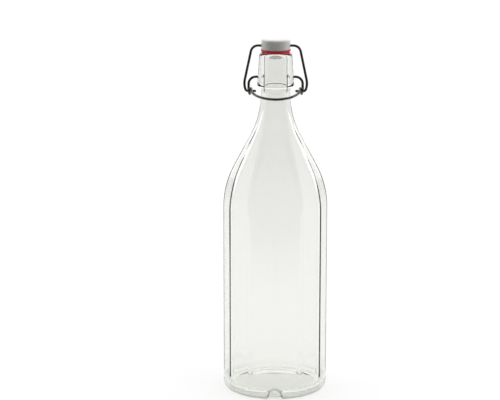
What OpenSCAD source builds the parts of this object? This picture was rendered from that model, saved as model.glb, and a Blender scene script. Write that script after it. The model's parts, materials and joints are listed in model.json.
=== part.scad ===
// Swing top bottle: a faceted one litre glass bottle with a wire-held stopper.
// Millimetres. The base stands on z = 0 with the bottle axis on Z.
// The front is -Y: the lever bow and the notch in the heel are there.
// All three hinges run along X: lever in glass, bail in lever, stopper on bail.

/* [Glass body] */
// Height of the glass, from the bearing ring to the mouth
glass_h = 293.3; // [285:0.1:310]
// Width of the body across two opposite corners
body_d = 89; // [80:0.5:96]
// Number of flat sides round the body
side_count = 12; // [10:1:16]
// Radius cut off each corner between two flats, so that it is not sharp
corner_ease = 0.2; // [0.1:0.05:0.4]
// Wall thickness at the corners of the body
wall = 4; // [3:0.1:5]
// Radius of the heel, where the side turns under
heel_r = 5; // [3:0.5:8]
// Lean of the shoulder from upright, degrees
shoulder_lean = 28; // [24:1:34]
// Radius of the turn from the side into the shoulder
shoulder_r = 76; // [50:1:90]
// Radius of the turn from the shoulder into the neck
neck_blend_r = 75; // [50:1:90]
// How much higher the flats turn into the shoulder than the corners do
flat_lift = 0.6; // [0.3:0.1:1.5]
// Radius with which the flats run out into the round neck
flat_runout_r = 65; // [45:1:70]
// How far the run-out of the flats ends outside the neck
flat_runout = 0.8; // [0.5:0.1:1.5]

/* [Base] */
// Height of the hollow under the base
punt_h = 2.4; // [2:0.1:5]
// Width of the flat ring that the bottle stands on
bearing_w = 4; // [2:0.5:7]
// Thickness of the glass in the middle of the base
base_t = 3; // [2.5:0.1:6]
// Height of the inner floor where it meets the wall
floor_z = 3.8; // [3.2:0.1:6]
// Radius of the inner corner between floor and wall
floor_r = 9; // [5:0.5:12]
// Width of the arched notch in the front of the heel
notch_w = 12.2; // [8:0.2:14]
// Height of that notch
notch_h = 8.5; // [7.5:0.1:10]
// How far the notch reaches in from the heel at the base
notch_reach = 8; // [6:0.1:8.5]
// Lean of the back of the notch from upright, degrees
notch_lean = 34; // [28:1:40]

/* [Neck and collar] */
// Diameter of the neck under the collar
neck_d = 25.2; // [24:0.1:28]
// Straight length of neck under the collar
neck_len = 6.3; // [3:0.1:12]
// Height of the thick collar, up to the mouth
collar_h = 29.3; // [26:0.1:34]
// Diameter of the collar at its lower edge
collar_low_d = 31.3; // [30:0.1:33]
// Diameter of the collar below the mouth
collar_top_d = 28.2; // [27:0.1:30]
// Radius of the outer edge of the mouth
mouth_r = 3.2; // [2:0.1:3.8]
// Radius of the lower edge of the collar
collar_r = 1.6; // [1:0.1:2.5]
// Diameter of the pouring bore
bore_d = 19; // [17:0.1:20]
// Height of the lever pivot above the lower edge of the collar
pivot_rise = 8.3; // [6:0.1:11]
// Depth of the dimples that hold the lever ends
dimple_depth = 3.2; // [2:0.1:4]

/* [Wires] */
// Diameter of both wires
wire_d = 2.2; // [1.8:0.1:2.4]
// Radial clearance of a wire in its hole
pivot_clearance = 0.1; // [0.05:0.01:0.15]
// Clearance past the end of a lever pivot
end_clearance = 0.4; // [0.2:0.1:0.8]
// Thickness of the lever wire where it is curled into an eye
eye_wire_d = 2.4; // [2.3:0.1:2.8]
// How far the middle of each eye stands out from the collar
eye_gap = 7.15; // [6.5:0.05:8]
// Distance from the lever pivot down to the eyes
eye_drop = 12.2; // [10:0.1:13]
// Bend radius of the lever beside the collar
lever_bend_r = 6; // [4:0.1:6.5]
// How far the curve of the finger bow lies inside the eyes
bow_inset = 2.2; // [1.6:0.1:2.4]
// How far the front of the bow hangs below the eyes
bow_drop = 3.2; // [2.5:0.1:5]
// How far each upper corner of the bail stands out from the stopper head
bail_top_gap = 7.6; // [6:0.1:9]
// How far the legs of the bail stand outside the eyes at their widest place
bail_leg_gap = 3.6; // [3.4:0.1:5]
// Height of that widest place above the eyes
bail_leg_rise = 6.6; // [5:0.1:8]
// Radius of the slow curve of the legs there
bail_leg_r = 16; // [12:0.5:20]
// Bend radius of the bail at its upper corners
bail_top_bend_r = 6.2; // [4:0.1:6.5]
// Bend radius of the bail where it turns in to its pins
bail_low_bend_r = 2.5; // [2.2:0.1:2.8]
// How far each bail pin reaches inwards from the middle of its eye
bail_pin_reach = 6.2; // [4:0.1:6.5]

/* [Stopper] */
// Diameter of the stopper head
cap_d = 24.6; // [22:0.1:27]
// Height of the side of the stopper head
cap_h = 9; // [8:0.1:12]
// Height of the low dome on top of the head
cap_dome = 0.8; // [0.4:0.1:1.5]
// Radius of the upper edge of the head
cap_edge_r = 2; // [1:0.1:3]
// Height of the bail bore above the underside of the head
cap_bore_rise = 3; // [2.5:0.1:5]
// Diameter of the shank that carries the gasket
shank_d = 11.6; // [10:0.1:12.4]
// Diameter of the plug below the gasket
plug_d = 13.6; // [13:0.1:14.2]
// Depth of the plug below the mouth
plug_depth = 5.2; // [3:0.1:5.5]
// Chamfer round the nose of the plug
plug_chamfer = 1.2; // [0.5:0.1:1.6]

/* [Gasket] */
// Diameter of the rubber gasket at its upper rim
gasket_d = 25.4; // [24:0.1:28]
// Diameter of the gasket where it meets the mouth
gasket_low_d = 24.2; // [22:0.1:24.6]
// Thickness of the rubber gasket
gasket_t = 2.5; // [2:0.1:3.5]
// Radius of the rounded rim of the gasket
gasket_edge_r = 0.5; // [0.3:0.1:0.8]
// Clearance of the gasket on its shank and over the plug
gasket_clearance = 0.1; // [0.05:0.01:0.2]
// Clearance between the gasket and the mouth
seal_clearance = 0.1; // [0.05:0.01:0.3]

/* [Hidden] */
$fn = 96;

glass_tint = [0.80, 0.88, 0.85, 0.45];
steel_grey = [0.42, 0.42, 0.41];
cap_white = [0.93, 0.93, 0.91];
rubber_red = [0.80, 0.13, 0.20];

// How far a cut passes through the face that it opens
cut_over = 1;
// Number of straight steps along each turn of an outline
turn_steps = 10;
// A bend of wire is a little thinner than the wire that it leads out of, and runs a little way into it
bend_thinning = 0.04;
bend_lap = 0.25;

body_r = body_d / 2;
neck_r = neck_d / 2;
bore_r = bore_d / 2;
wire_r = wire_d / 2;
pivot_bore_r = wire_r + pivot_clearance;

// Heights, from the mouth down
collar_z = glass_h - collar_h;
neck_z = collar_z - neck_len;
shoulder_z = neck_z - shoulder_rise(body_r, shoulder_r, shoulder_lean, neck_r, neck_blend_r);
pivot_z = collar_z + pivot_rise;
eye_z = pivot_z - eye_drop;
gasket_z = glass_h + seal_clearance;
cap_z = gasket_z + gasket_t;
bail_z = cap_z + cap_bore_rise;

// Flats: distance from the axis, and a shoulder scaled in the same ratio
flat_shoulder_z = shoulder_z + flat_lift;
flat_ratio = cos(180 / side_count);
flat_r = (body_r + corner_ease) * flat_ratio;
flat_lean = atan(tan(shoulder_lean) * flat_ratio);
flat_shoulder_r = shoulder_r * sin(shoulder_lean) / sin(flat_lean);
flat_neck_r = neck_r + flat_runout;
flat_top_z = flat_shoulder_z
    + shoulder_rise(flat_r, flat_shoulder_r, flat_lean, flat_neck_r, flat_runout_r);

// Cavity: the side and the shoulder keep the wall, and the neck ends in the bore
cavity_r = body_r - wall;
cavity_shoulder_r = shoulder_r - wall;
cavity_blend_r = neck_blend_r + neck_r - bore_r;
punt_ring_r = body_r - heel_r - bearing_w;
floor_top_z = punt_h + base_t;
floor_ring_r = cavity_r - floor_r;

// Collar: radius at a height above its lower edge
collar_slope = (collar_low_d - collar_top_d) / 2 / collar_h;
function collar_radius(rise) = collar_low_d / 2 - collar_slope * rise;
dimple_floor_x = collar_radius(pivot_rise) - dimple_depth;

// Lever: eyes, and a bow whose curve is centred level with the front of the eyes
eye_x = collar_low_d / 2 + eye_gap;
eye_wire_r = eye_wire_d / 2;
eye_ring_r = pivot_bore_r + eye_wire_r;
bow_r = eye_x - bow_inset;
bow_tilt = asin(bow_drop / (bow_r + eye_ring_r));
bow_leg = sqrt(eye_x * eye_x - bow_r * bow_r);
bow_start = acos(bow_r / eye_x);

// Bail: a straight leg from each upper corner, tangent to the slow curve above the pin
bail_corner = [cap_d / 2 + bail_top_gap, bail_z];
bail_leg_centre = [eye_x + bail_leg_gap - bail_leg_r, eye_z + bail_leg_rise];
bail_reach = bail_corner - bail_leg_centre;
bail_lean = atan2(bail_reach[1], bail_reach[0]) - acos(bail_leg_r / norm(bail_reach));
bail_normal = [cos(bail_lean), sin(bail_lean)];
bail_leg_low = bail_leg_centre + bail_leg_r * bail_normal;
bail_top_centre = [bail_corner[0] - bail_top_bend_r * tan((90 - bail_lean) / 2), bail_z - bail_top_bend_r];
bail_leg_top = bail_top_centre + bail_top_bend_r * bail_normal;
// The turn into the pin lies inside the slow curve and touches it
bail_turn_drop = bail_leg_rise - bail_low_bend_r;
bail_turn_reach = bail_leg_r - bail_low_bend_r;
bail_turn_angle = -asin(bail_turn_drop / bail_turn_reach);
bail_low_centre = bail_leg_centre + bail_turn_reach * [cos(bail_turn_angle), sin(bail_turn_angle)];

// Radius of a sphere whose cap has this base radius and height
function cap_sphere_r(base_r, height) = (base_r * base_r + height * height) / (2 * height);

// Height taken by a shoulder: a convex turn, a straight lean and a concave turn
function shoulder_rise(side_r, turn_r, lean, top_r, blend_r) =
    (turn_r + blend_r) * sin(lean)
    + (side_r - top_r - (turn_r + blend_r) * (1 - cos(lean))) / tan(lean);

// Points along a turn of an outline, between two angles
function turn_points(centre, radius, from_angle, to_angle, first = 0) = [
    for (i = [first : turn_steps])
        let (angle = from_angle + (to_angle - from_angle) * i / turn_steps)
            centre + radius * [cos(angle), sin(angle)]
];

// Points up a vessel's side: the turn into its shoulder and the turn into its neck
function shoulder_points(start_z, side_r, turn_r, lean, top_r, blend_r) =
    let (blend_z = start_z + shoulder_rise(side_r, turn_r, lean, top_r, blend_r))
        concat(
            turn_points([side_r - turn_r, start_z], turn_r, 0, lean),
            turn_points([top_r + blend_r, blend_z], blend_r, 180 + lean, 180)
        );

// Half outline of the round glass, before the flats are cut
module blank_outline() {
    low_centre = [collar_radius(collar_r) - collar_r, collar_z + collar_r];
    mouth_centre = [collar_radius(collar_h - mouth_r) - mouth_r, glass_h - mouth_r];
    polygon(concat(
        [[0, 0]],
        turn_points([body_r - heel_r, heel_r], heel_r, -90, 0),
        shoulder_points(shoulder_z, body_r, shoulder_r, shoulder_lean, neck_r, neck_blend_r),
        [[neck_r, collar_z]],
        turn_points(low_centre, collar_r, -90, 0),
        turn_points(mouth_centre, mouth_r, 0, 90),
        [[0, glass_h]]
    ));
}

// Half outline of the inside, with a low dome in its floor
module cavity_outline() {
    dome_r = cap_sphere_r(floor_ring_r, floor_top_z - floor_z);
    dome_angle = asin(floor_ring_r / dome_r);
    polygon(concat(
        turn_points([0, floor_top_z - dome_r], dome_r, 90, 90 - dome_angle),
        turn_points([floor_ring_r, floor_z + floor_r], floor_r, -90, 0, first = 1),
        shoulder_points(shoulder_z, cavity_r, cavity_shoulder_r, shoulder_lean, bore_r, cavity_blend_r),
        [[bore_r, glass_h + cut_over], [0, glass_h + cut_over]]
    ));
}

// Cutter that takes everything outside one flat side
module flat_cutter(turn) {
    outside_r = body_r + cut_over;
    shoulder = shoulder_points(
        flat_shoulder_z, flat_r, flat_shoulder_r, flat_lean, flat_neck_r, flat_runout_r
    );
    rotate([90, 0, turn])
        linear_extrude(height = 2 * body_r, center = true)
            polygon(concat(
                [[flat_r, -cut_over]],
                shoulder,
                [[outside_r, flat_top_z], [outside_r, -cut_over]]
            ));
}

// Cutter for the notch in the heel: an arch whose back leans out towards its top
module notch_cutter() {
    half_w = notch_w / 2;
    intersection() {
        rotate([90, 0, 0])
            linear_extrude(height = body_r + cut_over)
                polygon(concat(
                    [[half_w, -cut_over]],
                    turn_points([0, notch_h - half_w], half_w, 0, 180),
                    [[-half_w, -cut_over]]
                ));
        translate([0, notch_reach - body_r, 0])
            rotate([notch_lean, 0, 0])
                translate([-notch_w, -2 * notch_h, -2 * notch_h])
                    cube([2 * notch_w, 2 * notch_h, 4 * notch_h]);
    }
}

// Rod of wire along X, between two places on it
module wire_along_x(from_x, to_x) {
    translate([from_x, 0, 0]) rotate([0, 90, 0]) cylinder(r = wire_r, h = to_x - from_x);
}

// Bend of wire about Z, between two angles from +X
module wire_turn(bend_r, from_angle, to_angle, thinning = bend_thinning) {
    lap = bend_lap / bend_r * 180 / PI;
    rotate([0, 0, from_angle - lap])
        rotate_extrude(angle = to_angle - from_angle + 2 * lap)
            translate([bend_r, 0]) circle(r = wire_r - thinning);
}

// The same bend stood up in the plane of X and Z
module wire_bend(centre, bend_r, from_angle, to_angle, thinning = bend_thinning) {
    translate([centre[0], 0, centre[1]])
        rotate([90, 0, 0]) wire_turn(bend_r, from_angle, to_angle, thinning);
}

module glass_bottle() {
    color(glass_tint)
    difference() {
        rotate_extrude() blank_outline();
        for (i = [0 : side_count - 1])
            flat_cutter(-90 + (i + 0.5) * 360 / side_count);
        rotate_extrude() cavity_outline();
        translate([0, 0, punt_h - cap_sphere_r(punt_ring_r, punt_h)])
            sphere(r = cap_sphere_r(punt_ring_r, punt_h), $fn = 360);
        notch_cutter();
        for (side = [-1, 1])
            translate([side * dimple_floor_x, 0, pivot_z])
                rotate([0, side * 90, 0]) cylinder(r = pivot_bore_r, h = dimple_depth + cut_over);
    }
}

module lever_side() {
    bend_x = eye_x - lever_bend_r;
    translate([0, 0, pivot_z]) wire_along_x(dimple_floor_x + end_clearance, bend_x);
    wire_bend([bend_x, pivot_z - lever_bend_r], lever_bend_r, 0, 90);
    translate([eye_x, 0, eye_z + eye_ring_r])
        cylinder(r = wire_r, h = eye_drop - lever_bend_r - eye_ring_r);
    translate([eye_x, 0, eye_z])
        rotate([0, 90, 0])
            rotate_extrude() translate([eye_ring_r, 0]) circle(r = eye_wire_r);
    translate([0, 0, eye_z])
        rotate([bow_tilt, 0, 0])
            translate([bow_r * cos(bow_start), -eye_ring_r - bow_r * sin(bow_start), 0])
                rotate([0, 90, 90 - bow_start]) cylinder(r = wire_r, h = bow_leg);
}

module lever_wire() {
    color(steel_grey)
    union() {
        for (side = [0, 1]) mirror([side, 0, 0]) lever_side();
        translate([0, 0, eye_z])
            rotate([bow_tilt, 0, 0])
                translate([0, -eye_ring_r, 0]) wire_turn(bow_r, bow_start - 180, -bow_start);
    }
}

module bail_side() {
    wire_bend(bail_top_centre, bail_top_bend_r, bail_lean, 90);
    translate([bail_leg_low[0], 0, bail_leg_low[1]])
        rotate([0, -bail_lean, 0])
            cylinder(r = wire_r, h = norm(bail_leg_top - bail_leg_low));
    wire_bend(bail_leg_centre, bail_leg_r, bail_turn_angle, bail_lean);
    wire_bend(bail_low_centre, bail_low_bend_r, -90, bail_turn_angle, 2 * bend_thinning);
    translate([0, 0, eye_z]) wire_along_x(eye_x - bail_pin_reach, bail_low_centre[0]);
}

module bail_wire() {
    color(steel_grey)
    union() {
        translate([0, 0, bail_z]) wire_along_x(-bail_top_centre[0], bail_top_centre[0]);
        for (side = [0, 1]) mirror([side, 0, 0]) bail_side();
    }
}

// Half outline of the stopper head, with a rounded upper edge and a low dome
module cap_outline() {
    cap_r = cap_d / 2;
    flat_cap_r = cap_r - cap_edge_r;
    dome_r = cap_sphere_r(flat_cap_r, cap_dome);
    square([flat_cap_r, cap_h]);
    square([cap_r, cap_h - cap_edge_r]);
    intersection() {
        translate([flat_cap_r, cap_h - cap_edge_r]) circle(r = cap_edge_r);
        translate([flat_cap_r, cap_h - cap_edge_r]) square(cap_edge_r);
    }
    intersection() {
        translate([0, cap_h + cap_dome - dome_r]) circle(r = dome_r, $fn = 360);
        translate([0, cap_h]) square([flat_cap_r, cap_dome]);
    }
}

module stopper() {
    plug_r = plug_d / 2;
    plug_top_z = gasket_z - gasket_clearance;
    plug_z = glass_h - plug_depth;
    color(cap_white)
    difference() {
        union() {
            translate([0, 0, cap_z]) rotate_extrude() cap_outline();
            translate([0, 0, plug_top_z]) cylinder(d = shank_d, h = cap_z - plug_top_z);
            rotate_extrude()
                polygon([
                    [0, plug_z],
                    [plug_r - plug_chamfer, plug_z],
                    [plug_r, plug_z + plug_chamfer],
                    [plug_r, plug_top_z],
                    [0, plug_top_z]
                ]);
        }
        translate([-cap_d / 2 - cut_over, 0, bail_z])
            rotate([0, 90, 0]) cylinder(r = pivot_bore_r, h = cap_d + 2 * cut_over);
    }
}

module gasket() {
    hole_r = shank_d / 2 + gasket_clearance;
    rim_x = gasket_d / 2 - gasket_edge_r;
    low_x = gasket_low_d / 2 - gasket_edge_r;
    taper = atan2(rim_x - low_x, gasket_t - 2 * gasket_edge_r);
    color(rubber_red)
    translate([0, 0, gasket_z])
        rotate_extrude()
            polygon(concat(
                [[hole_r, 0]],
                turn_points([low_x, gasket_edge_r], gasket_edge_r, -90, -taper),
                turn_points([rim_x, gasket_t - gasket_edge_r], gasket_edge_r, -taper, 90),
                [[hole_r, gasket_t]]
            ));
}

glass_bottle();
lever_wire();
bail_wire();
stopper();
gasket();
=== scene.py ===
"""Swing top bottle: the visible pieces, their finishes and a plain studio.

Everything is in metres, in the frame of the solids: Z runs up the bottle, the front is -Y,
and the three hinges run along X.
"""

import json
import logging
import math
from dataclasses import dataclass, field
from enum import Enum
from typing import Any

import bmesh
import bpy
from mathutils import Matrix, Vector


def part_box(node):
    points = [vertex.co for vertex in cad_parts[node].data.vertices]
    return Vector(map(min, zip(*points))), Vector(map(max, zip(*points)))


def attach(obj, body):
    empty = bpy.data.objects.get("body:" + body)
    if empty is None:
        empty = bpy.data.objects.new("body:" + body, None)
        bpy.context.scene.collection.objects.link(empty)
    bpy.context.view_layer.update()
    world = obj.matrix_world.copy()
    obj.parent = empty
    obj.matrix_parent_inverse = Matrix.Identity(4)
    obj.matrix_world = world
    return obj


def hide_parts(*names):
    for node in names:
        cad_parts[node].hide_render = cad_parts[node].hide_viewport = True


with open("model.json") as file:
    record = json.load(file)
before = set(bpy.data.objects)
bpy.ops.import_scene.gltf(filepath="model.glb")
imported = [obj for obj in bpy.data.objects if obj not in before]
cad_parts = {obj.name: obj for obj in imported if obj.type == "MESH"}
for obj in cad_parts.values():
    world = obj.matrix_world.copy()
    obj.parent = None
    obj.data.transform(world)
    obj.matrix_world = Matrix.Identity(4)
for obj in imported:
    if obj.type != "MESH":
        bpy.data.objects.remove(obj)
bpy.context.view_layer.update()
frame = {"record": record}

LOG = logging.getLogger("swing_top_bottle")
MM = 0.001

# Radius of both wires, and the room that they have in their holes
WIRE_R = 1.1 * MM
WIRE_ROOM = 0.1 * MM
# Vertices closer than this are one, within a piece and across a mirrored piece's seam
MERGE = 1e-7
SEAM = 1e-6
# Octaves of noise in the soft patches of a finish
PATCH_DETAIL = 3.0
# What noise comes to on average
NOISE_MEAN = 0.5

Point = tuple[float, float]
Colour = tuple[float, float, float]

BLACK: Colour = (0.0, 0.0, 0.0)
WHITE: Colour = (1.0, 1.0, 1.0)


class Body(str, Enum):
    """The moving bodies that a piece can ride on."""

    BOTTLE = "bottle"
    LEVER = "lever"
    BAIL = "bail"
    CLOSURE = "closure"


class Slot(str, Enum):
    """The record's material slots."""

    GLASS = "clear_glass"
    STEEL = "steel_wire"
    PLASTIC = "white_plastic"
    RUBBER = "red_rubber"


class Skin(int, Enum):
    """Which surface of the glass a vertex belongs to."""

    ROUND = 0
    OUTSIDE = 1
    INSIDE = 2


def smooth_step(low: float, high: float, value: float) -> float:
    """A soft rise from 0 at low to 1 at high.

    Args:
        low: Where the rise starts.
        high: Where it ends.
        value: Where to read it.

    Returns:
        The height of the rise there.
    """
    t = min(max((value - low) / (high - low), 0.0), 1.0)
    return t * t * (3.0 - 2.0 * t)


def blend(first: float, second: float, share: float) -> float:
    """A value between two others, at a share of the way."""
    return first + (second - first) * share


def arc(centre: Point, radius: float, start: float, end: float, steps: int) -> list[Point]:
    """Points along an arc of an outline.

    Args:
        centre: The arc's centre, as radius from the axis and height.
        radius: The arc's own radius.
        start: First angle in degrees, from the outward direction towards up.
        end: Last angle in degrees.
        steps: Number of steps between them.

    Returns:
        The points, both ends included.
    """
    angles = [math.radians(blend(start, end, i / steps)) for i in range(steps + 1)]
    return [(centre[0] + radius * math.cos(a), centre[1] + radius * math.sin(a)) for a in angles]


def along(start: Point, end: Point, steps: int) -> list[Point]:
    """Points inside a straight stretch of an outline.

    Args:
        start: Where it starts.
        end: Where it ends.
        steps: Number of steps along it.

    Returns:
        The points, without the ends.
    """
    return [
        (blend(start[0], end[0], i / steps), blend(start[1], end[1], i / steps))
        for i in range(1, steps)
    ]


def dome_half(ring_r: float, rise: float) -> float:
    """Half the angle, in degrees, of a shallow dome with this ring and rise."""
    return math.degrees(2 * math.atan2(rise, ring_r))


def dome(ring_r: float, rise: float, top_z: float, steps: int) -> list[Point]:
    """Outline of a shallow dome, from its ring in to the axis.

    Args:
        ring_r: Radius of its ring.
        rise: Height of its middle over its ring.
        top_z: Height of its middle.
        steps: Number of steps along it.

    Returns:
        The points, both ends included.
    """
    half = dome_half(ring_r, rise)
    radius = ring_r / math.sin(math.radians(half))
    return arc((0.0, top_z - radius), radius, 90 - half, 90, steps)


def frame_joint(name: str) -> Vector:
    """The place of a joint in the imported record.

    Args:
        name: The joint's name.

    Returns:
        A point on its axis.
    """
    for joint in frame["record"]["behaviour"]["joints"]:
        if joint["name"] == name:
            return Vector(joint["pos_m"])
    raise KeyError(name)


class Signal:
    """A shader socket whose arithmetic adds Math nodes to its tree."""

    def __init__(self, book: "NodeBook", socket: bpy.types.NodeSocket | None) -> None:
        """Wrap a socket of a tree, or None for a node that has no outputs."""
        self.book = book
        self.socket = socket

    def _math(self, operation: str, first: Any, second: Any) -> "Signal":
        """One Math node on two values or sockets.

        Args:
            operation: The Math node's operation.
            first: A number or a signal.
            second: A number or a signal.

        Returns:
            The node's result.
        """
        return self.book.add("ShaderNodeMath", {"operation": operation}, {0: first, 1: second})

    def __add__(self, other: Any) -> "Signal":
        """Sum."""
        return self._math("ADD", self, other)

    def __radd__(self, other: Any) -> "Signal":
        """Sum, with the number first."""
        return self._math("ADD", other, self)

    def __sub__(self, other: Any) -> "Signal":
        """Difference."""
        return self._math("SUBTRACT", self, other)

    def __rsub__(self, other: Any) -> "Signal":
        """Difference, with the number first."""
        return self._math("SUBTRACT", other, self)

    def __mul__(self, other: Any) -> "Signal":
        """Product."""
        return self._math("MULTIPLY", self, other)

    def __rmul__(self, other: Any) -> "Signal":
        """Product, with the number first."""
        return self._math("MULTIPLY", other, self)

    def at_least(self, other: Any) -> "Signal":
        """The higher of this and another value."""
        return self._math("MAXIMUM", self, other)


class NodeBook:
    """The node tree of one material or of the world."""

    # Colour sockets of a Mix node, by number because its modes share their names
    MIX_SHARE, MIX_FIRST, MIX_SECOND, MIX_RESULT = 0, 6, 7, 2

    def __init__(self, owner: bpy.types.Material | bpy.types.World) -> None:
        """Start an empty tree.

        Args:
            owner: The material or the world that it belongs to.
        """
        owner.use_nodes = True
        self.tree = owner.node_tree
        self.tree.nodes.clear()

    def add(
        self,
        kind: str,
        settings: dict[str, Any] | None = None,
        sockets: dict[str | int, Any] | None = None,
        output: str | int = 0,
    ) -> Signal:
        """Add a node.

        Args:
            kind: The node's type.
            settings: Its own settings, such as a Math node's operation.
            sockets: Values or signals for its inputs, by name or number.
            output: The output to hand back, by name or number.

        Returns:
            The chosen output.
        """
        node = self.tree.nodes.new(kind)
        for name, value in (settings or {}).items():
            setattr(node, name, value)
        for key, value in (sockets or {}).items():
            if isinstance(value, Signal):
                self.tree.links.new(value.socket, node.inputs[key])
            else:
                node.inputs[key].default_value = value
        return Signal(self, node.outputs[output]) if node.outputs else Signal(self, None)

    def vector(self, operation: str, inputs: dict[int, Any], output: str = "Value") -> Signal:
        """One Vector Math node, by its operation."""
        return self.add("ShaderNodeVectorMath", {"operation": operation}, inputs, output)

    def place(self, axis: str | None = None) -> Signal:
        """Object coordinates, or one axis of them.

        Args:
            axis: X, Y or Z, or None for all three.

        Returns:
            The coordinates.
        """
        where = self.add("ShaderNodeTexCoord", output="Object")
        if axis is None:
            return where
        return self.add("ShaderNodeSeparateXYZ", {}, {"Vector": where}, axis)

    def noise(self, scale: float, detail: float = 2.0, stretch: Colour = (1, 1, 1)) -> Signal:
        """A noise pattern on Object coordinates.

        Args:
            scale: Cells per metre.
            detail: Octaves of finer noise.
            stretch: Factors on the three axes.

        Returns:
            The noise value.
        """
        where = self.add("ShaderNodeMapping", {}, {"Vector": self.place(), "Scale": stretch})
        return self.add(
            "ShaderNodeTexNoise", {}, {"Vector": where, "Scale": scale, "Detail": detail}, "Fac"
        )

    def ramp(self, value: Signal, low: float, high: float, start: float, end: float) -> Signal:
        """Carry a value from one range smoothly into another.

        Args:
            value: The value to carry.
            low: Where the range starts.
            high: Where it ends.
            start: The result at low.
            end: The result at high.

        Returns:
            The carried value.
        """
        return self.add(
            "ShaderNodeMapRange",
            {"interpolation_type": "SMOOTHSTEP"},
            {"Value": value, "From Min": low, "From Max": high, "To Min": start, "To Max": end},
        )

    def mix(self, share: Signal, first: Colour, second: Colour) -> Signal:
        """A colour between two others.

        Args:
            share: The share of the way, from 0 to 1.
            first: The colour at 0.
            second: The colour at 1.

        Returns:
            The mixed colour.
        """
        settings = {"data_type": "RGBA", "clamp_factor": True}
        inputs = {self.MIX_SHARE: share, self.MIX_FIRST: (*first, 1.0), self.MIX_SECOND: (*second, 1.0)}
        return self.add("ShaderNodeMix", settings, inputs, self.MIX_RESULT)

    def bump(self, height: Signal, depth: float) -> Signal:
        """A Bump node for a height, and the metres that one unit of it stands for."""
        return self.add("ShaderNodeBump", {}, {"Height": height, "Distance": depth, "Strength": 1.0})


def new_material(name: str) -> tuple[bpy.types.Material, NodeBook]:
    """A material and its empty node tree."""
    material = bpy.data.materials.new(name)
    return material, NodeBook(material)


@dataclass
class Notch:
    """The arched notch in the front of the heel, whose back leans out towards its top."""

    front_r: float
    half_w: float = 6.1 * MM
    arch_h: float = 9.0 * MM
    top: float = 8.5 * MM
    reach: float = 8.0 * MM
    lean: float = 34.0
    edge: float = 1.6 * MM
    patch_cuts: int = 2
    mask_start: float = -0.5 * MM
    mask_full: float = -0.2 * MM
    rim_full: float = 0.15
    rim_end: float = 0.8
    rim_top: float = 0.7
    hollow_end: float = 0.6

    def __post_init__(self) -> None:
        """Work out the directions up its back and straight out of it, and where its arch starts."""
        lean = math.radians(self.lean)
        self.foot = Vector((0, self.reach - self.front_r, 0))
        self.up = Vector((0, -math.sin(lean), math.cos(lean)))
        self.out = Vector((0, -math.cos(lean), -math.sin(lean)))
        crown = Vector((0, -self.front_r, self.top))
        self.arch = (crown - self.foot).dot(self.up) - self.arch_h

    def inside(self, point: Vector) -> float:
        """How far a point lies inside the arch, seen along the notch."""
        over = max((point - self.foot).dot(self.up) - self.arch, 0.0) / self.arch_h
        return self.half_w - math.hypot(point.x, over * self.half_w)

    def press(self, bm: bmesh.types.BMesh) -> None:
        """Press the notch into a shape, with soft edges.

        Args:
            bm: The shape, which is made finer round the notch.
        """
        near = {
            vert
            for vert in bm.verts
            if (vert.co - self.foot).dot(self.out) > -self.edge / 2
            and self.inside(vert.co) > -2 * self.edge
        }
        patch = [edge for edge in bm.edges if near.issuperset(edge.verts)]
        bmesh.ops.subdivide_edges(bm, edges=patch, cuts=self.patch_cuts, use_grid_fill=True)
        for vert in bm.verts:
            height = (vert.co - self.foot).dot(self.out)
            if height > 0:
                share = smooth_step(-self.edge / 2, self.edge / 2, self.inside(vert.co))
                vert.co -= self.out * (height * share)

    def rim(self, book: NodeBook) -> tuple[Signal, Signal]:
        """Masks of the notch for its glass, the first of them for painted shade.

        Args:
            book: The glass's node tree.

        Returns:
            The rim of the arch, where shade is painted into the glass, weaker over its top, and the
            whole notch within its rim.
        """
        where = book.vector("SUBTRACT", {0: book.place(), 1: self.foot}, "Vector")
        rise = book.vector("DOT_PRODUCT", {0: where, 1: self.up})
        height = book.vector("DOT_PRODUCT", {0: where, 1: self.out})
        over = (rise - self.arch).at_least(0.0) * (self.half_w / self.arch_h)
        flat = book.add("ShaderNodeCombineXYZ", {}, {"X": book.place("X"), "Y": over})
        off = (book.vector("LENGTH", {0: flat}) - self.half_w) * (1 / self.edge)
        front = book.ramp(height, self.mask_start, self.mask_full, 0.0, 1.0)
        # Painted shade, strongest right on the rim of the arch
        painted_shade_band = book.ramp(off * off, self.rim_full, self.rim_end, 1.0, 0.0)
        weaker = book.ramp(over, 0.0, self.half_w, 1.0, self.rim_top)
        hollow = book.ramp(off, 0.0, self.hollow_end, 1.0, 0.0)
        return painted_shade_band * front * weaker, hollow * front


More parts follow.
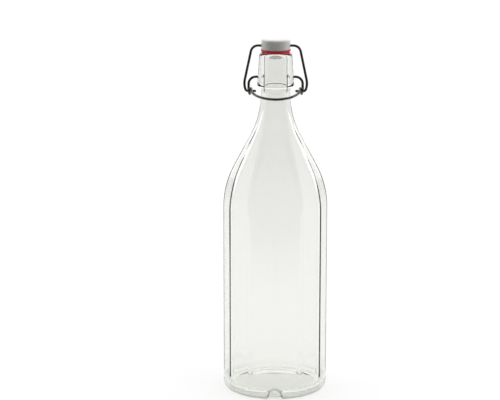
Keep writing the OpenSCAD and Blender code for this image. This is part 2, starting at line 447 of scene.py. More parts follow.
@dataclass(frozen=True)
class ClearGlass:
    """Flint glass from a blow mould, with soft ripples, a frosted underside and painted shade along its
    notch's rim.
    """

    tint: Colour = (0.940, 0.942, 0.926)
    ior: float = 1.52
    absorbed: Colour = (0.50, 0.56, 0.40)
    absorption: float = 9.0
    ripple_scale: float = 38.0
    ripple_depth: float = 0.10 * MM
    ripple_detail: float = 1.0
    ripple_stretch: Colour = (1.0, 1.0, 0.35)
    roughness: float = 0.004
    frost_z: float = 3.0 * MM
    frost_fade: float = 0.2 * MM
    frost_r: float = 44.5 * MM
    frost_edge: float = 1.0 * MM
    window_r: float = 37.0 * MM
    window_y: float = 17.0 * MM
    window_fade: float = 3.0 * MM
    frost_roughness: float = 0.45
    frost_colour: Colour = (0.94, 0.955, 0.915)
    frost_share: float = 0.75
    # Near-black colour painted along the notch's rim as shade
    rim_painted_shade: Colour = (0.010, 0.011, 0.004)
    stipple_scale: float = 620.0
    stipple_depth: float = 0.35 * MM

    def frost(self, book: NodeBook) -> Signal:
        """Mask of the frost on the underside.

        Args:
            book: The glass's node tree.

        Returns:
            1 on the underside, but for a clear window at the back of its hollow, and 0 elsewhere.
        """
        flat = book.add("ShaderNodeMapping", {}, {"Vector": book.place(), "Scale": (1, 1, 0)})
        out = book.vector("LENGTH", {0: flat})
        below = book.ramp(book.place("Z"), self.frost_z - self.frost_fade, self.frost_z, 1.0, 0.0)
        back = book.ramp(book.place("Y"), self.window_y, self.window_y + self.window_fade, 0.0, 1.0)
        window = back * book.ramp(out, self.window_r - self.frost_edge, self.window_r, 1.0, 0.0)
        heel = book.ramp(out, self.frost_r - self.frost_edge, self.frost_r, 1.0, 0.0)
        return below * heel * (1.0 - window)

    def material(self, notch: Notch) -> bpy.types.Material:
        """Make the finish.

        Args:
            notch: The notch, along whose rim the glass is darkened by painted shade.

        Returns:
            The material.
        """
        material, book = new_material(Slot.GLASS.value)
        # rim is the mask of painted shade along the notch's rim
        rim, hollow = notch.rim(book)
        frost = self.frost(book) * (1.0 - hollow)
        ripple = book.noise(self.ripple_scale, self.ripple_detail, self.ripple_stretch)
        stipple = book.noise(self.stipple_scale, self.ripple_detail)
        relief = ripple * self.ripple_depth + frost * stipple * self.stipple_depth
        body = book.add(
            "ShaderNodeBsdfPrincipled",
            {},
            {
                "Base Color": book.mix(rim, self.tint, self.rim_painted_shade),
                "Roughness": self.roughness + frost * self.frost_roughness,
                "IOR": self.ior,
                "Transmission Weight": 1.0,
                "Normal": book.bump(relief, 1.0),
            },
        )
        inside = book.add(
            "ShaderNodeVolumeAbsorption",
            {},
            {"Color": (*self.absorbed, 1.0), "Density": self.absorption},
        )
        bloom = book.add("ShaderNodeBsdfTranslucent", {}, {"Color": (*self.frost_colour, 1.0)})
        share = frost * self.frost_share
        surface = book.add("ShaderNodeMixShader", {}, {"Fac": share, 1: body, 2: bloom})
        book.add("ShaderNodeOutputMaterial", {}, {"Surface": surface, "Volume": inside})
        return material


@dataclass(frozen=True)
class OpaqueFinish:
    """Two tones in soft patches, which also change the roughness, over a fine grain."""

    slot: Slot
    tone: Colour
    patch_tone: Colour
    patch_scale: float
    grain_scale: float
    grain_depth: float
    roughness: float
    roughness_spread: float

    def patches(self, book: NodeBook) -> Signal:
        """The soft patches, from 0 to 1."""
        return book.noise(self.patch_scale, PATCH_DETAIL)

    def shine(self) -> dict[str, float]:
        """The steady sockets that set how the surface shines."""
        return {}

    def material(self) -> bpy.types.Material:
        """Make the finish.

        Returns:
            The material.
        """
        material, book = new_material(self.slot.value)
        patch = self.patches(book)
        body = book.add(
            "ShaderNodeBsdfPrincipled",
            {},
            {
                "Base Color": book.mix(patch, self.tone, self.patch_tone),
                "Roughness": self.roughness + (patch - NOISE_MEAN) * self.roughness_spread,
                "Normal": book.bump(book.noise(self.grain_scale), self.grain_depth),
                **self.shine(),
            },
        )
        book.add("ShaderNodeOutputMaterial", {}, {"Surface": body})
        return material


@dataclass(frozen=True)
class SpringWire(OpaqueFinish):
    """Steel wire with a dull zinc skin and a fine grain."""

    slot: Slot = Slot.STEEL
    tone: Colour = (0.17, 0.164, 0.153)
    patch_tone: Colour = (0.098, 0.092, 0.085)
    patch_scale: float = 260.0
    patch_low: float = 0.35
    patch_high: float = 0.65
    grain_scale: float = 1500.0
    grain_depth: float = 0.012 * MM
    roughness: float = 0.31
    roughness_spread: float = 0.18

    def patches(self, book: NodeBook) -> Signal:
        """Patches of zinc, clearer at their edges."""
        return book.ramp(super().patches(book), self.patch_low, self.patch_high, 0.0, 1.0)

    def shine(self) -> dict[str, float]:
        """Bare metal."""
        return {"Metallic": 1.0}


@dataclass(frozen=True)
class SatinPlastic(OpaqueFinish):
    """White moulded plastic with a fine eroded grain and a soft gloss."""

    slot: Slot = Slot.PLASTIC
    tone: Colour = (0.86, 0.86, 0.83)
    patch_tone: Colour = (0.80, 0.795, 0.76)
    patch_scale: float = 120.0
    grain_scale: float = 2600.0
    grain_depth: float = 0.02 * MM
    roughness: float = 0.36
    roughness_spread: float = 0.12
    ior: float = 1.49
    gloss: float = 0.6
    gloss_roughness: float = 0.20

    def shine(self) -> dict[str, float]:
        """A soft gloss over the plastic."""
        return {"IOR": self.ior, "Coat Weight": self.gloss, "Coat Roughness": self.gloss_roughness}


@dataclass(frozen=True)
class RedRubber(OpaqueFinish):
    """Moulded rubber with a faint bloom."""

    slot: Slot = Slot.RUBBER
    tone: Colour = (0.92, 0.006, 0.030)
    patch_tone: Colour = (0.94, 0.016, 0.050)
    patch_scale: float = 300.0
    grain_scale: float = 1800.0
    grain_depth: float = 0.03 * MM
    roughness: float = 0.50
    roughness_spread: float = 0.14
    sheen: float = 0.45

    def shine(self) -> dict[str, float]:
        """The dull shine of rubber."""
        return {"Specular IOR Level": self.sheen}


class Workshop:
    """Turns bmeshes into finished pieces of the object."""

    sharp_angle: float = math.radians(38.0)

    @staticmethod
    def new_object(name: str, bm: bmesh.types.BMesh) -> bpy.types.Object:
        """Put a bmesh into the scene as an object at the origin.

        Args:
            name: The object's name.
            bm: The shape, which is freed.

        Returns:
            The object.
        """
        mesh = bpy.data.meshes.new(name)
        bm.to_mesh(mesh)
        bm.free()
        thing = bpy.data.objects.new(name, mesh)
        bpy.context.scene.collection.objects.link(thing)
        return thing

    @classmethod
    def carve(cls, thing: bpy.types.Object, cutters: list[bmesh.types.BMesh]) -> None:
        """Cut shapes out of an object and keep the result as its own mesh.

        Args:
            thing: The object to cut.
            cutters: Closed shapes to take away, which are freed.
        """
        knives = [cls.new_object(f"knife_{i}", bm) for i, bm in enumerate(cutters)]
        for knife in knives:
            cut = thing.modifiers.new(knife.name, "BOOLEAN")
            cut.operation = "DIFFERENCE"
            cut.solver = "EXACT"
            cut.object = knife
        graph = bpy.context.evaluated_depsgraph_get()
        carved = bpy.data.meshes.new_from_object(thing.evaluated_get(graph))
        thing.modifiers.clear()
        whole, thing.data = thing.data, carved
        bpy.data.meshes.remove(whole)
        carved.name = thing.name
        for knife in knives:
            bpy.data.meshes.remove(knife.data)

    @classmethod
    def dress(
        cls,
        thing: bpy.types.Object,
        material: bpy.types.Material,
        body: Body,
        slot: Slot,
        node: str,
    ) -> bpy.types.Object:
        """Shade an object smooth, paint it, hang it on its body and hide the solid that it stands for.

        Args:
            thing: The finished shape.
            material: Its finish.
            body: The body that it rides on.
            slot: The record's slot for the finish; not used.
            node: The solid that it stands for.

        Returns:
            The object.
        """
        mesh = thing.data
        mesh.materials.clear()
        mesh.materials.append(material)
        mesh.shade_smooth()
        mesh.set_sharp_from_angle(angle=cls.sharp_angle)
        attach(thing, body.value)
        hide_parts(node)
        return thing

    @staticmethod
    def spin_outline(
        outline: list[Point], steps: int, skins: list[Skin] | None = None
    ) -> bmesh.types.BMesh:
        """Spin an outline, from the axis or a ring, once round Z.

        Args:
            outline: Points as radius and height. A closed ring repeats its first point.
            steps: Steps round the axis.
            skins: The surface that each point belongs to, kept in a vertex layer.

        Returns:
            The closed shape, with its faces outwards.
        """
        bm = bmesh.new()
        layer = bm.verts.layers.int.new("skin")
        points = [bm.verts.new((r, 0.0, z)) for r, z in outline]
        for point, skin in zip(points, skins or []):
            point[layer] = skin.value
        edges = [bm.edges.new(pair) for pair in zip(points, points[1:])]
        bmesh.ops.spin(
            bm,
            geom=points + edges,
            cent=(0, 0, 0),
            axis=(0, 0, 1),
            angle=2 * math.pi,
            steps=steps,
            use_merge=True,
        )
        bmesh.ops.remove_doubles(bm, verts=bm.verts[:], dist=MERGE)
        bmesh.ops.recalc_face_normals(bm, faces=bm.faces[:])
        return bm

    @staticmethod
    def rod(start: Vector, end: Vector, radius: float, sides: int = 28) -> bmesh.types.BMesh:
        """A closed round rod between two points, used as a cutter.

        Args:
            start: The middle of one end.
            end: The middle of the other.
            radius: The rod's radius.
            sides: Sides round it.

        Returns:
            The rod.
        """
        run = end - start
        bm = bmesh.new()
        turn = run.to_track_quat("Z", "Y").to_matrix().to_4x4()
        bmesh.ops.create_cone(
            bm,
            cap_ends=True,
            segments=sides,
            radius1=radius,
            radius2=radius,
            depth=run.length,
            matrix=Matrix.Translation((start + end) / 2) @ turn,
        )
        return bm


@dataclass(frozen=True)
class Shoulder:
    """A convex turn out of the side, a straight lean and a concave turn into the neck."""

    side_r: float
    turn_r: float
    top_r: float
    blend_r: float
    lean: float
    turn_steps: int = 22
    lean_steps: int = 10

    def rise(self) -> float:
        """Work out its height.

        Returns:
            The height.
        """
        lean = math.radians(self.lean)
        turns = self.turn_r + self.blend_r
        across = self.side_r - self.top_r - turns * (1 - math.cos(lean))
        return turns * math.sin(lean) + across / math.tan(lean)

    def outline(self, low_z: float) -> list[Point]:
        """Outline from the side up to the neck.

        Args:
            low_z: Height of its foot.

        Returns:
            The points, both ends included.
        """
        lean, steps = self.lean, self.turn_steps
        low = arc((self.side_r - self.turn_r, low_z), self.turn_r, 0, lean, steps)
        high_centre = (self.top_r + self.blend_r, low_z + self.rise())
        high = arc(high_centre, self.blend_r, 180 + lean, 180, steps)
        return low + along(low[-1], high[0], self.lean_steps) + high


@dataclass
class GlassBottle:
    """The faceted glass, with its collar, dimples, hollow base and heel notch."""

    finish: ClearGlass = field(default_factory=ClearGlass)
    height: float = 293.3 * MM
    body_r: float = 44.5 * MM
    side_count: int = 12
    corner_angle: float = -90.0
    corner_r: float = 6.0 * MM
    inner_r: float = 41.2 * MM
    inner_corner_r: float = 12.0 * MM
    heel_r: float = 5.0 * MM
    bearing_w: float = 4.0 * MM
    punt_h: float = 2.4 * MM
    floor_z: float = 3.8 * MM
    floor_top: float = 4.8 * MM
    floor_r: float = 8.0 * MM
    shoulder_lean: float = 28.0
    shoulder_r: float = 76.0 * MM
    neck_blend_r: float = 75.0 * MM
    neck_r: float = 12.6 * MM
    neck_len: float = 6.3 * MM
    collar_h: float = 29.3 * MM
    collar_low_r: float = 15.65 * MM
    collar_top_r: float = 14.1 * MM
    collar_edge_r: float = 1.6 * MM
    mouth_r: float = 3.2 * MM
    lip_r: float = 1.2 * MM
    bore_r: float = 9.5 * MM
    round_from: float = 176.0 * MM
    round_to: float = 252.0 * MM
    dimple_r: float = WIRE_R + WIRE_ROOM
    dimple_depth: float = 3.2 * MM
    steps_round: int = 288
    side_steps: int = 24
    face_steps: int = 12
    edge_steps: int = 10
    rim_steps: int = 8
    lip_steps: int = 6

    def __post_init__(self) -> None:
        """Work out the notch, the shoulders and the heights that follow from the sizes."""
        self.notch = Notch(self.body_r)
        self.collar_z = self.height - self.collar_h
        self.neck_z = self.collar_z - self.neck_len
        wall = self.body_r - self.inner_r
        inner_blend = self.neck_blend_r + self.neck_r - self.bore_r
        lean = self.shoulder_lean
        self.outer = Shoulder(self.body_r, self.shoulder_r, self.neck_r, self.neck_blend_r, lean)
        self.inner = Shoulder(self.inner_r, self.shoulder_r - wall, self.bore_r, inner_blend, lean)
        self.shoulder_z = self.neck_z - self.outer.rise()
        self.pivot_z = frame_joint("lever_swing").z

    def outside(self) -> list[Point]:
        """Outline from the heel up to the outer edge of the mouth.

        Returns:
            The points.
        """
        heel_centre = (self.body_r - self.heel_r, self.heel_r)
        heel = arc(heel_centre, self.heel_r, -90, 0, self.edge_steps)
        shoulder = self.outer.outline(self.shoulder_z)
        clear = (self.body_r, self.notch.top + self.heel_r)
        low_side = along(heel[-1], clear, self.face_steps)
        side = along(clear, shoulder[0], self.side_steps)
        return heel + low_side + [clear] + side + shoulder

    def collar(self) -> list[Point]:
        """Outline of the collar, from the neck up to the flat of the mouth.

        Returns:
            The points.
        """
        edge, mouth = self.collar_edge_r, self.mouth_r
        low = arc((self.collar_low_r - edge, self.collar_z + edge), edge, -90, 0, self.rim_steps)
        high = arc((self.collar_top_r - mouth, self.height - mouth), mouth, 0, 90, self.edge_steps)
        face = along(low[-1], high[0], self.face_steps)
        return [(self.neck_r, self.collar_z)] + low + face + high

    def inside(self) -> list[Point]:
        """Outline of the inside, from the lip down to the middle of the floor.

        Returns:
            The points.
        """
        lip_centre = (self.bore_r + self.lip_r, self.height - self.lip_r)
        lip = arc(lip_centre, self.lip_r, 90, 180, self.lip_steps)
        shoulder = self.inner.outline(self.shoulder_z)[::-1]
        ring_r = self.inner_r - self.floor_r
        corner_centre = (ring_r, self.floor_z + self.floor_r)
        corner = arc(corner_centre, self.floor_r, 0, -90, self.edge_steps)
        floor = dome(ring_r, self.floor_top - self.floor_z, self.floor_top, self.edge_steps)
        bore = along(lip[-1], shoulder[0], self.edge_steps)
        side = along(shoulder[-1], corner[0], self.side_steps)
        return lip + bore + shoulder + side + corner + floor[1:]

    def under(self) -> list[Point]:
        """Outline of the hollow base, from its middle out to the bearing ring."""
        ring_r = self.body_r - self.heel_r - self.bearing_w
        return dome(ring_r, self.punt_h, self.punt_h, self.face_steps)[::-1]

    def facet_share(self, angle: float, roundness: float) -> float:
        """Radius of a polygon with rounded corners, as a share of its radius at a corner.

        Args:
            angle: Direction from the axis, in radians.
            roundness: Radius of the corners, as a share of the radius at a corner.

        Returns:
            The share, 1 at a corner.
        """
        half = math.pi / self.side_count
        from_corner = (angle - math.radians(self.corner_angle)) % (2 * half)
        from_corner = min(from_corner, 2 * half - from_corner)
        middle = 1.0 - roundness
        turn_end = math.atan2(roundness * math.sin(half), middle + roundness * math.cos(half))
        if from_corner < turn_end:
            offset = middle * math.sin(from_corner)
            return middle * math.cos(from_corner) + math.sqrt(roundness**2 - offset**2)
        return (middle * math.cos(half) + roundness) / math.cos(half - from_corner)

    def roundness(self, skin: Skin, height: float) -> float:
        """How round the glass is at a height.

        Args:
            skin: The surface of the glass.
            height: The height on it.

        Returns:
            The roundness, from that of the body's corners to 1 for a full circle.
        """
        if skin is Skin.ROUND:
            return 1.0
        rise = smooth_step(self.round_from, self.round_to, height)
        if skin is Skin.INSIDE:
            return blend(self.inner_corner_r / self.inner_r, 1.0, rise)
        heel = smooth_step(self.heel_r, 0.0, height)
        return blend(self.corner_r / self.body_r, 1.0, max(rise, heel))

    def shape(self) -> bmesh.types.BMesh:
        """Spin the glass and press its flats and its notch.

        Returns:
            The closed shape.
        """
        parts = [
            (self.under(), Skin.ROUND),
            (self.outside(), Skin.OUTSIDE),
            (self.collar(), Skin.ROUND),
            (self.inside(), Skin.INSIDE),
        ]
        outline = [point for points, _ in parts for point in points]
        skins = [skin for points, skin in parts for _ in points]
        bm = Workshop.spin_outline(outline, self.steps_round, skins)
        layer = bm.verts.layers.int["skin"]
        for vert in bm.verts:
            roundness = self.roundness(Skin(vert[layer]), vert.co.z)
            share = self.facet_share(math.atan2(vert.co.y, vert.co.x), roundness)
            vert.co.x *= share
            vert.co.y *= share
        self.notch.press(bm)
        return bm

    def cutters(self) -> list[bmesh.types.BMesh]:
        """Shapes of the dimples in the collar.

        Returns:
            A rod for each side.
        """
        rise = (self.pivot_z - self.collar_z) / self.collar_h
        face_x = blend(self.collar_low_r, self.collar_top_r, rise)
        floor_x = face_x - self.dimple_depth
        out_x = face_x + self.dimple_depth
        return [
            Workshop.rod(
                Vector((side * floor_x, 0, self.pivot_z)),
                Vector((side * out_x, 0, self.pivot_z)),
                self.dimple_r,
            )
            for side in (-1, 1)
        ]

    def build(self) -> bpy.types.Object:
        """Build and dress the glass.

        Returns:
            The object.
        """
        thing = Workshop.new_object("faceted_glass", self.shape())
        Workshop.carve(thing, self.cutters())
        return Workshop.dress(
            thing, self.finish.material(self.notch), Body.BOTTLE, Slot.GLASS, "glass_bottle"
        )


class WireRun:
    """Bends one length of round wire, from its start along runs and bends."""

    def __init__(self, radius: float, start: Vector, heading: Vector, sides: int = 20) -> None:
        """Set the wire's first ring.

        Args:
            radius: The wire's radius.
            start: The middle of its first end.
            heading: The way that it sets off.
            sides: Sides round it.
        """
        self.bm = bmesh.new()
        self.place = start.copy()
        self.heading = heading.normalized()
        turn = self.heading.to_track_quat("Z", "Y").to_matrix().to_4x4()
        ring = bmesh.ops.create_circle(
            self.bm,
            cap_ends=False,
            segments=sides,
            radius=radius,
            matrix=Matrix.Translation(start) @ turn,
        )
        self.ring = ring["verts"]
        self.first_ring = list(self.ring)

    def _ring_edges(self) -> list[bmesh.types.BMEdge]:
        """The edges between the vertices of the last ring."""
        ring = set(self.ring)
        return list({e for v in self.ring for e in v.link_edges if set(e.verts) <= ring})

    def straight(self, length: float) -> None:
        """Carry on straight.

        Args:
            length: How far.
        """
        made = bmesh.ops.extrude_edge_only(self.bm, edges=self._ring_edges())
        self.ring = [g for g in made["geom"] if isinstance(g, bmesh.types.BMVert)]
        bmesh.ops.translate(self.bm, vec=self.heading * length, verts=self.ring)
        self.place += self.heading * length

    def bend(
        self, radius: float, angle: float, axis: Vector, steps: int, drift: Vector | None = None
    ) -> None:
        """Bend the wire about an axis square to its heading.

        Args:
            radius: The bend's radius at the middle of the wire.
            angle: How far it turns, in degrees, to the left as seen from the axis's tip.
            axis: The bend's axis.
            steps: Rings along the bend.
            drift: How far the bend drifts along its axis.
        """
        axis = axis.normalized()
        centre = self.place + axis.cross(self.heading) * radius
        drift = drift or Vector((0, 0, 0))
        made = bmesh.ops.spin(
            self.bm,
            geom=self.ring + self._ring_edges(),
            cent=centre,
            axis=axis,
            dvec=drift / steps,
            angle=math.radians(angle),
            steps=steps,
        )
        self.ring = [g for g in made["geom_last"] if isinstance(g, bmesh.types.BMVert)]
        turn = Matrix.Rotation(math.radians(angle), 3, axis)
        self.place = centre + turn @ (self.place - centre) + drift
        self.heading = turn @ self.heading

    def mirrored(self, end_round: float) -> bmesh.types.BMesh:
        """Round off the first end, and mirror the wire over X where it stops.

        Args:
            end_round: Radius of the rounded end.

        Returns:
            The whole wire.
        """
        bm = self.bm
        cap = bm.faces.new(self.first_ring)
        bmesh.ops.bevel(
            bm,
            geom=cap.edges[:],
            offset=end_round,
            offset_type="OFFSET",
            segments=3,
            profile=0.5,
            affect="EDGES",
            material=-1,
        )
        half = bm.verts[:] + bm.edges[:] + bm.faces[:]
        bmesh.ops.mirror(bm, geom=half, axis="X", merge_dist=SEAM)
        bmesh.ops.remove_doubles(bm, verts=bm.verts[:], dist=MERGE)
        bmesh.ops.recalc_face_normals(bm, faces=bm.faces[:])
        return bm


@dataclass
class LeverWire:
    """The lower wire: pins in the collar, a curled eye on each side and the finger bow."""

    wire_r: float = WIRE_R
    pin_x: float = 12.4 * MM
    eye_x: float = 22.8 * MM
    eye_r: float = 2.35 * MM
    eye_pitch: float = 2.2 * MM
    bend_r: float = 6.0 * MM
    bow_reach: float = 22.8 * MM
    bow_drop: float = 3.2 * MM
    end_round: float = 0.35 * MM
    bend_steps: int = 14
    jog_steps: int = 8
    eye_steps: int = 44
    bow_steps: int = 36

    def build(self, material: bpy.types.Material) -> bpy.types.Object:
        """Bend the wire from one pin to the middle of the bow, and mirror it.

        Args:
            material: The finish that both wires share.

        Returns:
            The finished lever.
        """
        pivot, eye = frame_joint("lever_swing"), frame_joint("bail_swing")
        x_axis, y_axis = Vector((1, 0, 0)), Vector((0, 1, 0))
        wire = WireRun(self.wire_r, Vector((self.pin_x, 0, pivot.z)), x_axis)
        wire.straight(self.eye_x - self.bend_r - self.pin_x)
        wire.bend(self.bend_r, 90, y_axis, self.bend_steps)
        # The leg jogs by this angle into an eye of the same radius, with its middle in line
        jog = 60.0
        wire.straight(wire.place.z - eye.z - 2 * math.sin(math.radians(jog)) * self.eye_r)
        wire.bend(self.eye_r, jog, -x_axis, self.jog_steps)
        reach = math.hypot(self.bow_reach, self.bow_drop)
        tilt = math.asin(self.eye_r / reach) + math.atan2(self.bow_drop, self.bow_reach)
        curl = 270 + jog + math.degrees(tilt)
        wire.bend(self.eye_r, curl, x_axis, self.eye_steps, Vector((-self.eye_pitch, 0, 0)))
        bow_r = wire.place.x
        wire.straight((self.bow_reach + wire.place.y) / math.cos(tilt) - bow_r)
        wire.bend(bow_r, 90, Vector((0, math.sin(tilt), -math.cos(tilt))), self.bow_steps)
        thing = Workshop.new_object("lever_spring_wire", wire.mirrored(self.end_round))
        return Workshop.dress(thing, material, Body.LEVER, Slot.STEEL, "lever_wire")


@dataclass
class BailWire:
    """The upper wire: pins in the lever's eyes, two legs and a bar through the stopper."""

    wire_r: float = WIRE_R
    pin_x: float = 16.6 * MM
    leg_x: float = 26.4 * MM
    leg_rise: float = 6.6 * MM
    leg_r: float = 16.0 * MM
    low_bend_r: float = 2.5 * MM
    corner_x: float = 19.9 * MM
    top_bend_r: float = 6.2 * MM
    end_round: float = 0.35 * MM
    low_steps: int = 12
    leg_steps: int = 10
    top_steps: int = 14

    def build(self, material: bpy.types.Material) -> bpy.types.Object:
        """Bend the wire from one pin to the middle of the bar, and mirror it.

        Args:
            material: The finish that both wires share.

        Returns:
            The finished bail.
        """
        eye, bar = frame_joint("bail_swing"), frame_joint("stopper_tilt")
        inner_r = self.leg_r - self.low_bend_r
        turn_in = math.asin((self.leg_rise - self.low_bend_r) / inner_r)
        leg_centre = (self.leg_x - self.leg_r, eye.z + self.leg_rise)
        across, up = self.corner_x - leg_centre[0], bar.z - leg_centre[1]
        reach = math.hypot(across, up)
        lean = math.atan2(up, across) - math.acos(self.leg_r / reach)
        bend_room = self.top_bend_r * math.tan((math.pi / 2 - lean) / 2)
        leg = math.sqrt(reach**2 - self.leg_r**2) - bend_room
        x_axis, y_axis = Vector((1, 0, 0)), Vector((0, 1, 0))
        wire = WireRun(self.wire_r, Vector((self.pin_x, 0, eye.z)), x_axis)
        wire.straight(leg_centre[0] + inner_r * math.cos(turn_in) - self.pin_x)
        wire.bend(self.low_bend_r, 90 - math.degrees(turn_in), -y_axis, self.low_steps)
        wire.bend(self.leg_r, math.degrees(turn_in + lean), -y_axis, self.leg_steps)
        wire.straight(leg)
        wire.bend(self.top_bend_r, 90 - math.degrees(lean), -y_axis, self.top_steps)
        wire.straight(wire.place.x)
        thing = Workshop.new_object("bail_spring_wire", wire.mirrored(self.end_round))
        return Workshop.dress(thing, material, Body.BAIL, Slot.STEEL, "bail_wire")


@dataclass
class Stopper:
    """The white head with its shank and plug, cross bored for the bail."""

    finish: SatinPlastic = field(default_factory=SatinPlastic)
    head_r: float = 12.3 * MM
    head_h: float = 9.0 * MM
    dome_h: float = 0.8 * MM
    edge_r: float = 2.0 * MM
    low_edge_r: float = 0.5 * MM
    bore_rise: float = 3.0 * MM
    bore_r: float = WIRE_R + WIRE_ROOM
    shank_r: float = 5.8 * MM
    shank_h: float = 2.6 * MM
    plug_r: float = 6.8 * MM
    plug_h: float = 5.2 * MM
    plug_edge: float = 1.2 * MM
    steps_round: int = 128
    top_steps: int = 10
    side_steps: int = 6
    nose_steps: int = 5
    low_steps: int = 4

    def outline(self, low_z: float) -> list[Point]:
        """Outline from the plug's nose up to the top of the head.

        Args:
            low_z: Height of the underside of the head.

        Returns:
            The points, from the axis to the axis.
        """
        plug_z = low_z - self.shank_h
        nose_z = plug_z - self.plug_h
        edge, low = self.edge_r, self.low_edge_r
        top_r = self.head_r - edge
        top_z = low_z + self.head_h
        nose_centre = (self.plug_r - self.plug_edge, nose_z + self.plug_edge)
        nose = arc(nose_centre, self.plug_edge, -90, 0, self.nose_steps)
        under = arc((self.head_r - low, low_z + low), low, -90, 0, self.low_steps)
        rim_end = 90 - dome_half(top_r, self.dome_h)
        rim = arc((top_r, top_z - edge), edge, 0, rim_end, self.top_steps)
        top = dome(top_r, self.dome_h, top_z + self.dome_h, self.top_steps)
        shank = [(self.plug_r, plug_z), (self.shank_r, plug_z), (self.shank_r, low_z)]
        side = along(under[-1], rim[0], self.side_steps)
        return [(0.0, nose_z)] + nose + shank + under + side + rim + top[1:]

    def build(self) -> bpy.types.Object:
        """Build and dress the stopper.

        Returns:
            The object.
        """
        bar = frame_joint("stopper_tilt")
        shape = Workshop.spin_outline(self.outline(bar.z - self.bore_rise), self.steps_round)
        thing = Workshop.new_object("stopper_head", shape)
        out = Vector((2 * self.head_r, 0, 0))
        Workshop.carve(thing, [Workshop.rod(bar - out, bar + out, self.bore_r)])
        return Workshop.dress(
            thing, self.finish.material(), Body.CLOSURE, Slot.PLASTIC, "stopper"
        )


@dataclass
class Gasket:
    """The red rubber ring between the stopper and the mouth."""

    finish: RedRubber = field(default_factory=RedRubber)
    hole_r: float = 5.9 * MM
    low_r: float = 12.1 * MM
    rim_r: float = 12.7 * MM
    edge_r: float = 0.5 * MM
    steps_round: int = 128
    rim_steps: int = 8
    low_steps: int = 5
    side_steps: int = 4

    def outline(self, low_z: float, top_z: float) -> list[Point]:
        """Outline of the ring's section, closed.

        Args:
            low_z: Height of its underside.
            top_z: Height of its upper side.

        Returns:
            The points, with the first one repeated.
        """
        edge = self.edge_r
        flare = math.degrees(math.atan2(self.rim_r - self.low_r, top_z - low_z - 2 * edge))
        low = arc((self.low_r - edge, low_z + edge), edge, -90, -flare, self.low_steps)
        high = arc((self.rim_r - edge, top_z - edge), edge, -flare, 90, self.rim_steps)
        side = along(low[-1], high[0], self.side_steps)
        start = (self.hole_r, low_z)
        return [start] + low + side + high + [(self.hole_r, top_z), start]

    def build(self) -> bpy.types.Object:
        """Build and dress the gasket.

        Returns:
            The object.
        """
        low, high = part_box("gasket")
        shape = Workshop.spin_outline(self.outline(low[2], high[2]), self.steps_round)
        thing = Workshop.new_object("rubber_gasket", shape)
        return Workshop.dress(
            thing, self.finish.material(), Body.CLOSURE, Slot.RUBBER, "gasket"
        )


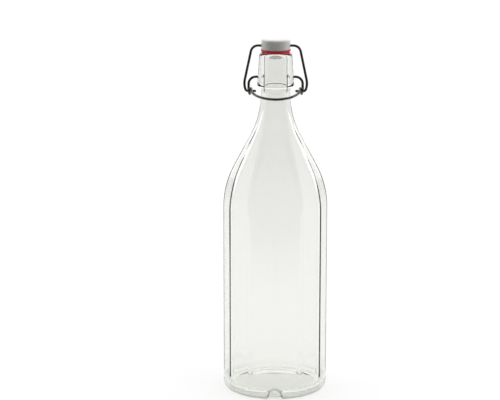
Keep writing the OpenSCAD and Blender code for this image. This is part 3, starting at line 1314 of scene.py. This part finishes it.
@dataclass
class Studio:
    """A white table in a room that is bright behind and above and dark towards the camera.

    What shows through glass finds that dark side pale, so that the bottle is clear from every side.
    """

    table_r: float = 9.0
    floor_white: float = 0.30
    floor_glow: float = 0.72
    table_front: float = -0.30
    table_fade: float = 0.30
    far_start: float = 0.30
    far_end: float = 1.50
    near_shade: float = 1.0
    far_shade: float = 0.84
    table_clear: float = 0.85
    room_clear: float = 0.70
    front_dark: Colour = (0.04, 0.04, 0.04)
    front_soft: Colour = (0.050, 0.034, 0.010)
    back_white: Colour = (1.25, 1.25, 1.25)
    turn_front: float = -0.40
    turn_soft: float = -0.70
    turn_back: float = 0.15
    soft_back: float = -0.37
    lean_right: float = 0.20
    top_light: float = 0.04
    top_start: float = 0.45
    top_full: float = 0.95
    image_size: tuple[int, int] = (500, 400)
    sensor: float = 36.0
    focal_px: float = 1971.9
    axis_px: float = 276.0
    level_px: float = 220.4
    camera_back: float = 1.6441
    camera_up: float = 0.5499
    camera_down: float = 13.753

    def floor(self) -> None:
        """A wide white floor, which takes the shadow of the object."""
        bm = bmesh.new()
        bmesh.ops.create_circle(bm, cap_ends=True, segments=96, radius=self.table_r)
        thing = Workshop.new_object("floor", bm)
        material, book = new_material("floor_white")
        back = book.place("Y")
        near = book.ramp(back, self.table_front - self.table_fade, self.table_front, 0.0, 1.0)
        far = book.ramp(back, self.far_start, self.far_end, self.near_shade, self.far_shade)
        camera, through, seen = self.rays(book)
        level = camera.at_least(near.at_least(through * self.table_clear) * far)
        paint_colour = book.mix(level * self.floor_white, BLACK, WHITE)
        glow_colour = book.mix(level * seen * self.floor_glow, BLACK, WHITE)
        paint = book.add("ShaderNodeBsdfDiffuse", {}, {"Color": paint_colour})
        glow = book.add("ShaderNodeEmission", {}, {"Color": glow_colour})
        both = book.add("ShaderNodeAddShader", {}, {0: paint, 1: glow})
        book.add("ShaderNodeOutputMaterial", {}, {"Surface": both})
        thing.data.materials.append(material)

    @staticmethod
    def rays(book: NodeBook) -> tuple[Signal, Signal, Signal]:
        """Masks of the rays that see the studio.

        Args:
            book: The node tree to read them in.

        Returns:
            1 for what the camera sees straight, 1 for what shows through glass, and 1 for either
            of these or what glass and metal mirror.
        """
        camera, glossy, through = (
            book.add("ShaderNodeLightPath", {}, {}, f"Is {kind} Ray")
            for kind in ("Camera", "Glossy", "Transmission")
        )
        return camera, through, camera.at_least(glossy).at_least(through)

    def light(self) -> None:
        """A bright room behind and above the bottle, and a dim one behind the camera."""
        world = bpy.data.worlds.new("studio")
        bpy.context.scene.world = world
        book = NodeBook(world)
        where = book.add("ShaderNodeTexCoord", {}, {}, "Generated")
        right, back, up = (
            book.add("ShaderNodeSeparateXYZ", {}, {"Vector": where}, axis) for axis in "XYZ"
        )
        camera, through, seen = self.rays(book)
        front = book.ramp(back, self.turn_front, self.turn_back, 0.0, 1.0)
        sharp = front.at_least(through * self.room_clear)
        soft = book.ramp(back + right * self.lean_right, self.turn_soft, self.soft_back, 0.0, 1.0)
        over = book.ramp(up, self.top_start, self.top_full, 0.0, 1.0)
        glossy_room = self.sky(book, book.mix(sharp, self.front_dark, self.back_white))
        matt_room = self.sky(book, book.mix(soft, self.front_soft, self.back_white))
        room = book.add("ShaderNodeMixShader", {}, {"Fac": seen, 1: matt_room, 2: glossy_room})
        top = self.sky(book, book.mix(over, BLACK, WHITE), self.top_light)
        lit = book.add("ShaderNodeAddShader", {}, {0: room, 1: top})
        white = self.sky(book, (*WHITE, 1.0))
        sky = book.add("ShaderNodeMixShader", {}, {"Fac": camera, 1: lit, 2: white})
        book.add("ShaderNodeOutputWorld", {}, {"Surface": sky})

    @staticmethod
    def sky(book: NodeBook, colour: Any, strength: float = 1.0) -> Signal:
        """A Background node with a steady strength."""
        return book.add("ShaderNodeBackground", {}, {"Color": colour, "Strength": strength})

    def camera(self) -> None:
        """The camera at the photograph's angle, turned so that the bottle sits right of the middle."""
        width, height = self.image_size
        lens = bpy.data.cameras.new("camera")
        lens.sensor_width = self.sensor
        lens.lens = self.focal_px / width * self.sensor
        eye = bpy.data.objects.new("camera", lens)
        bpy.context.scene.collection.objects.link(eye)
        yaw = math.atan((self.axis_px - width / 2) / self.focal_px)
        lift = math.atan((self.level_px - height / 2) / self.focal_px)
        eye.location = (0.0, -self.camera_back, self.camera_up)
        eye.rotation_euler = (math.pi / 2 - math.radians(self.camera_down) + lift, 0.0, yaw)
        bpy.context.scene.camera = eye

    def build(self) -> None:
        """Set up the studio."""
        self.floor()
        self.light()
        self.camera()
        bpy.context.scene.view_settings.view_transform = "Standard"


def main() -> None:
    """Build the pieces, report each one and set up the studio."""
    logging.basicConfig(level=logging.INFO, format="%(message)s")
    steel = SpringWire().material()
    pieces = [
        GlassBottle().build(),
        LeverWire().build(steel),
        BailWire().build(steel),
        Stopper().build(),
        Gasket().build(),
    ]
    for piece in pieces:
        LOG.info("%s: %d faces", piece.name, len(piece.data.polygons))
    Studio().build()


if __name__ == "__main__":
    main()
